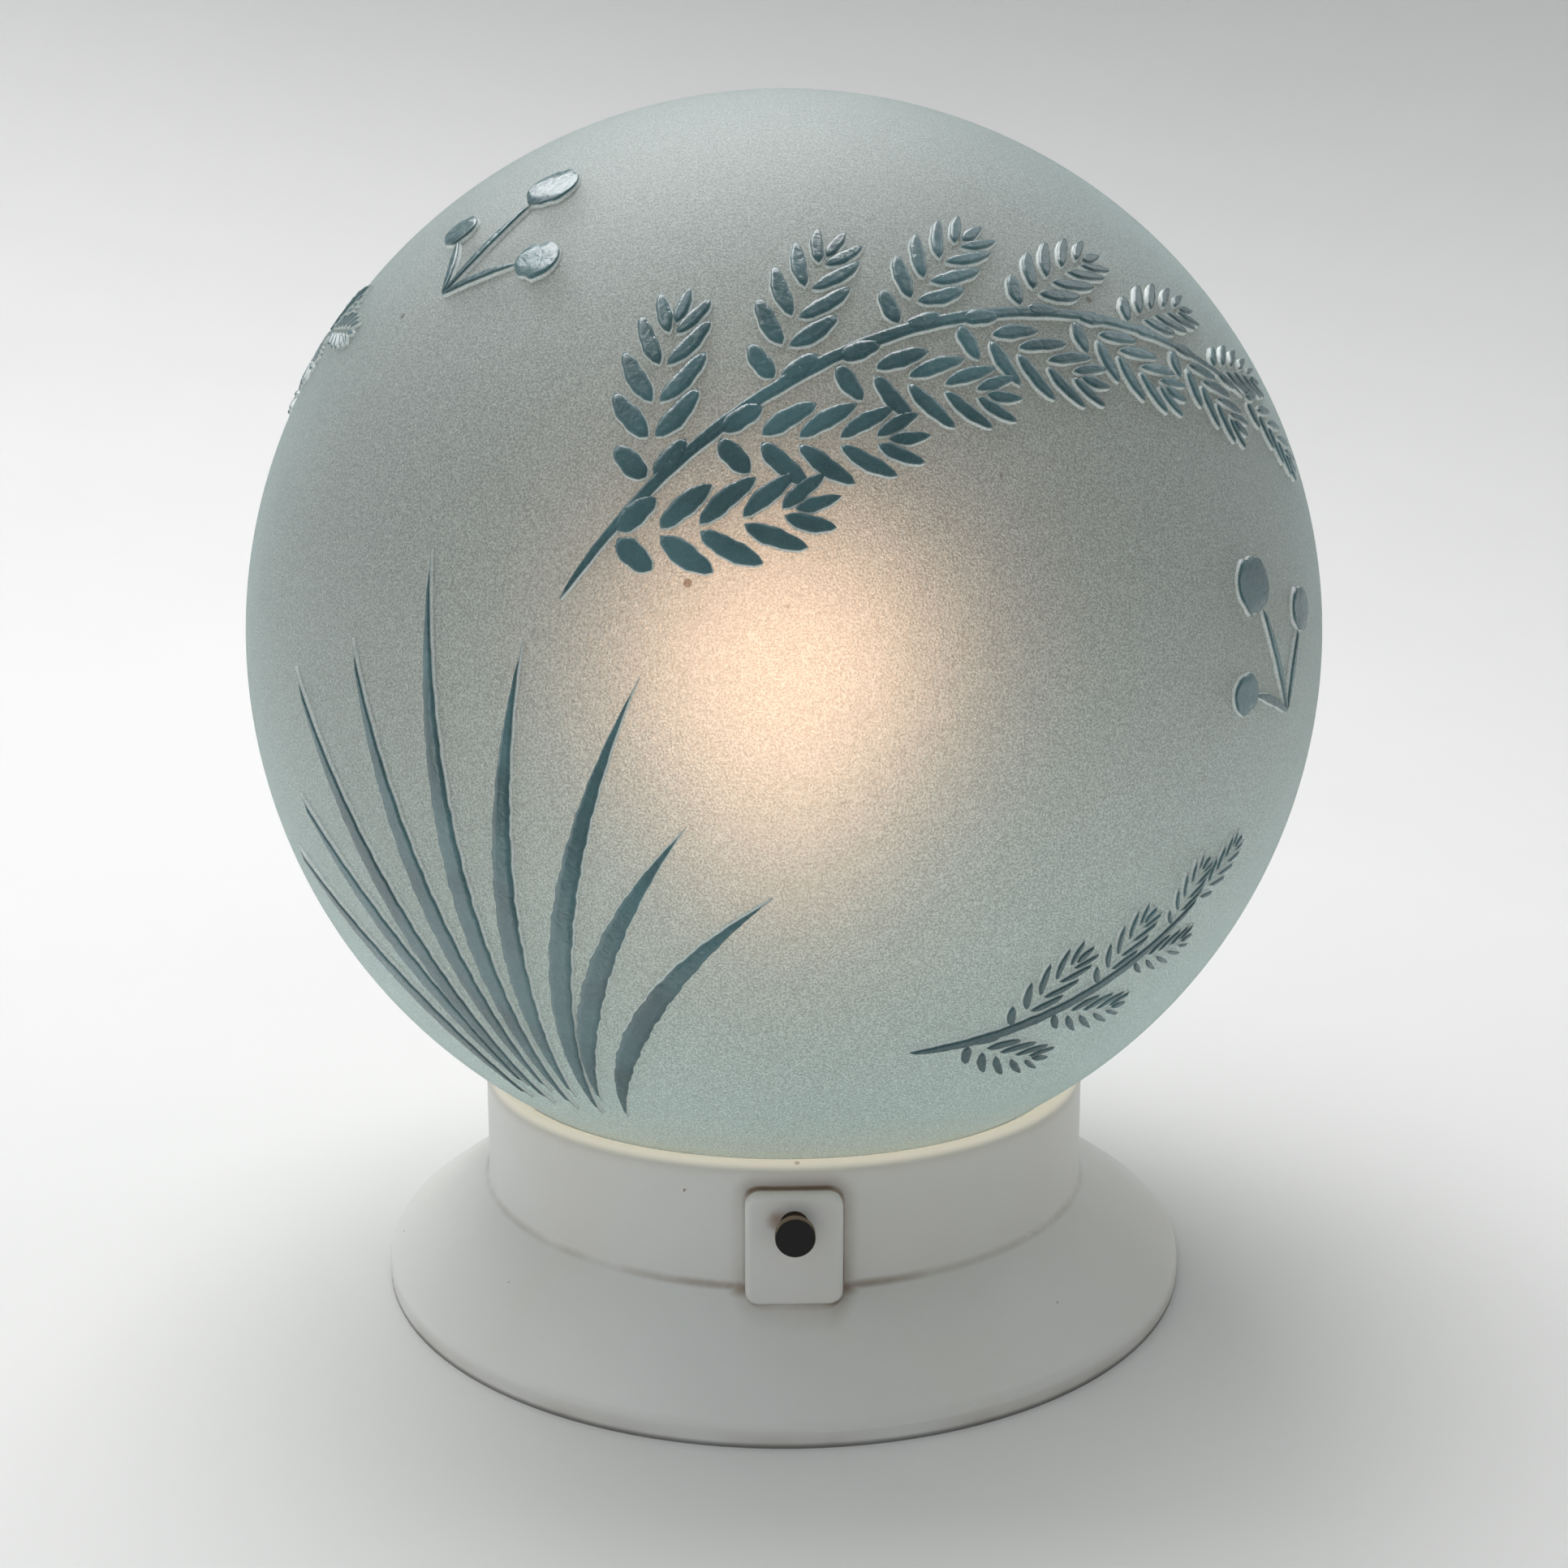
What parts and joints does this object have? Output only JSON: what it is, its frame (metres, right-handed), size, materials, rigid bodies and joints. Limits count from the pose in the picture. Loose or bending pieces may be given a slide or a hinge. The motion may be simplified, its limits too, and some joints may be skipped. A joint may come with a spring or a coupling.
{
  "type": "ceiling lamp",
  "caption": "Ceiling light with a frosted glass globe, clamped by radial screws in a flanged collar, over a porcelain lampholder and a screw-in bulb.",
  "frame": {"origin": "centre of the face that goes against the ceiling", "axes": "+Z from the ceiling along the lamp's axis to the globe, -Y to the front clamp screw"},
  "size_m": [0.2, 0.2, 0.2204],
  "materials": {
    "frosted_glass": "sandblasted, with clear polished lines",
    "white_moulding": "satin, aged",
    "zinc_steel": "zinc plated",
    "black_screw": "black oxide",
    "soft_tip": "soft, matt",
    "porcelain": "glazed",
    "brass": "drawn",
    "bulb_glass": "pearl",
    "bulb_cap": "rolled",
    "black_glass": "glossy",
    "solder": "cast",
    "clear_glass": "clear",
    "wire": "drawn"
  },
  "bodies": {
    "base": {"globe": "frosted_glass", "base_shell": "white_moulding", "mounting_strap": "zinc_steel", "strap_screws": "zinc_steel", "captive_nuts": "zinc_steel", "lampholder_body": "porcelain", "thread_sleeve": "brass", "spring_strip": "brass", "rivets": "brass", "terminal_live": "brass", "terminal_neutral": "brass", "terminal_screws": "zinc_steel", "holder_screws": "zinc_steel", "holder_nuts": "zinc_steel"},
    "front_tip": {"soft_tip_front": "soft_tip"},
    "front_screw": {"clamp_screw_front": "black_screw"},
    "right_tip": {"soft_tip_right": "soft_tip"},
    "right_screw": {"clamp_screw_right": "black_screw"},
    "left_tip": {"soft_tip_left": "soft_tip"},
    "left_screw": {"clamp_screw_left": "black_screw"},
    "bulb": {"bulb_glass": "bulb_glass", "bulb_cap": "bulb_cap", "bulb_insulator": "black_glass", "bulb_tip": "solder", "bulb_stem": "clear_glass", "bulb_leads": "wire", "bulb_filament": "wire"}
  },
  "joints": [
    {"name": "front_screw_travel", "type": "slide", "parent": "base", "child": "front_tip", "axis": [0, -1, 0], "range_m": [0, 0.0042]},
    {"name": "front_screw_turn", "type": "hinge", "parent": "front_tip", "child": "front_screw", "pos_m": [0, -0.06, 0.029], "axis": [0, -1, 0], "range_deg": [0, 2160]},
    {"name": "right_screw_travel", "type": "slide", "parent": "base", "child": "right_tip", "axis": [0.866, 0.5, 0], "range_m": [0, 0.0042]},
    {"name": "right_screw_turn", "type": "hinge", "parent": "right_tip", "child": "right_screw", "pos_m": [0.05196, 0.03, 0.029], "axis": [0.866, 0.5, 0], "range_deg": [0, 2160]},
    {"name": "left_screw_travel", "type": "slide", "parent": "base", "child": "left_tip", "axis": [-0.866, 0.5, 0], "range_m": [0, 0.0042]},
    {"name": "left_screw_turn", "type": "hinge", "parent": "left_tip", "child": "left_screw", "pos_m": [-0.05196, 0.03, 0.029], "axis": [-0.866, 0.5, 0], "range_deg": [0, 2160]},
    {"name": "bulb_lift", "type": "slide", "parent": "base", "child": "bulb", "axis": [0, 0, 1], "range_m": [0, 0.03]}
  ],
  "couplings": [
    {"joint": "front_screw_turn", "follows": "front_screw_travel", "rad_per_m": 8976},
    {"joint": "right_screw_turn", "follows": "right_screw_travel", "rad_per_m": 8976},
    {"joint": "left_screw_turn", "follows": "left_screw_travel", "rad_per_m": 8976}
  ]
}
